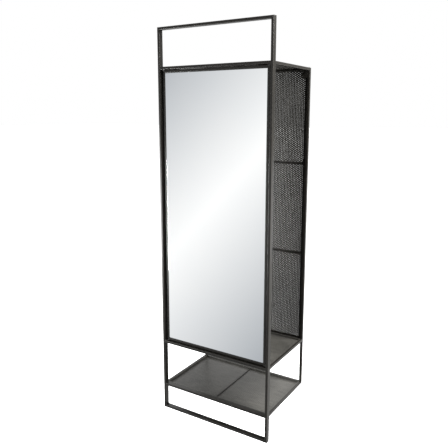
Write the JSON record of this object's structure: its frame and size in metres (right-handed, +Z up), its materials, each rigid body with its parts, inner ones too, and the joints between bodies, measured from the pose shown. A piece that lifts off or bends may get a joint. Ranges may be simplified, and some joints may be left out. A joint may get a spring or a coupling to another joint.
{
  "type": "wall-hung mirror cabinet",
  "caption": "Tall wall-hung bathroom cabinet: tube frame, mirror door on pivot pins, perforated back, floor and lower shelf, open sides, rail loops above and below.",
  "frame": {"origin": "centre of the wall face of the upper rear rail, where the cabinet meets the wall", "axes": "+X to the right as seen from the front, +Y towards the wall, +Z up"},
  "size_m": [0.38, 0.25, 1.2],
  "materials": {
    "frame_paint": "satin black powder coat with a warm gunmetal cast on steel tube",
    "mesh_sheet": "perforated steel sheet in the same satin black powder coat",
    "mirror": "silvered float glass",
    "backing_board": "black laminated fibreboard",
    "foam": "double-sided foam pads",
    "black_nylon": "moulded black nylon",
    "dark_steel": "black-oxide steel",
    "bare_steel": "plain zinc-plated steel",
    "magnet": "ferrite magnet",
    "rubber": "black rubber"
  },
  "bodies": {
    "cabinet": {"back_border": "frame_paint", "back_brace_lower": "frame_paint", "back_brace_upper": "frame_paint", "back_panel": "mesh_sheet", "catch_bracket": "frame_paint", "catch_housing": "black_nylon", "catch_magnet": "magnet", "door_bumper": "rubber", "door_stop": "frame_paint", "floor_brace": "frame_paint", "floor_panel": "mesh_sheet", "front_post_left": "frame_paint", "front_post_right": "frame_paint", "front_rail_bottom": "frame_paint", "front_rail_header": "frame_paint", "front_rail_shelf": "frame_paint", "front_rail_sill": "frame_paint", "front_rail_top": "frame_paint", "hanger_cover_left": "frame_paint", "hanger_cover_right": "frame_paint", "hanger_plate_left": "frame_paint", "hanger_plate_right": "frame_paint", "pivot_pin_lower": "dark_steel", "pivot_pin_upper": "dark_steel", "pivot_washer_lower": "black_nylon", "rear_post_left": "frame_paint", "rear_post_plug_left_bottom": "black_nylon", "rear_post_plug_left_top": "black_nylon", "rear_post_plug_right_bottom": "black_nylon", "rear_post_plug_right_top": "black_nylon", "rear_post_right": "frame_paint", "rear_rail_floor": "frame_paint", "rear_rail_shelf": "frame_paint", "rear_rail_top": "frame_paint", "shelf_brace": "frame_paint", "shelf_panel": "mesh_sheet", "side_rail_floor_left": "frame_paint", "side_rail_floor_right": "frame_paint", "side_rail_shelf_left": "frame_paint", "side_rail_shelf_right": "frame_paint", "side_rail_top_left": "frame_paint", "side_rail_top_right": "frame_paint", "top_panel": "mesh_sheet"},
    "door": {"board_tab_hinge_lower": "frame_paint", "board_tab_hinge_upper": "frame_paint", "board_tab_latch_lower": "frame_paint", "board_tab_latch_upper": "frame_paint", "catch_strike_plate": "bare_steel", "door_rail_bottom": "frame_paint", "door_rail_top": "frame_paint", "door_stile_hinge": "frame_paint", "door_stile_latch": "frame_paint", "mirror_board": "backing_board", "mirror_glass": "mirror", "mirror_pad_lower": "foam", "mirror_pad_upper": "foam", "stile_plug_hinge_bottom": "black_nylon", "stile_plug_hinge_top": "black_nylon", "stile_plug_latch_bottom": "black_nylon", "stile_plug_latch_top": "black_nylon"}
  },
  "joints": [
    {"name": "door_hinge", "type": "hinge", "parent": "cabinet", "child": "door", "pos_m": [-0.174, -0.237, -0.427], "axis": [0, 0, -1], "range_deg": [0, 100]}
  ]
}
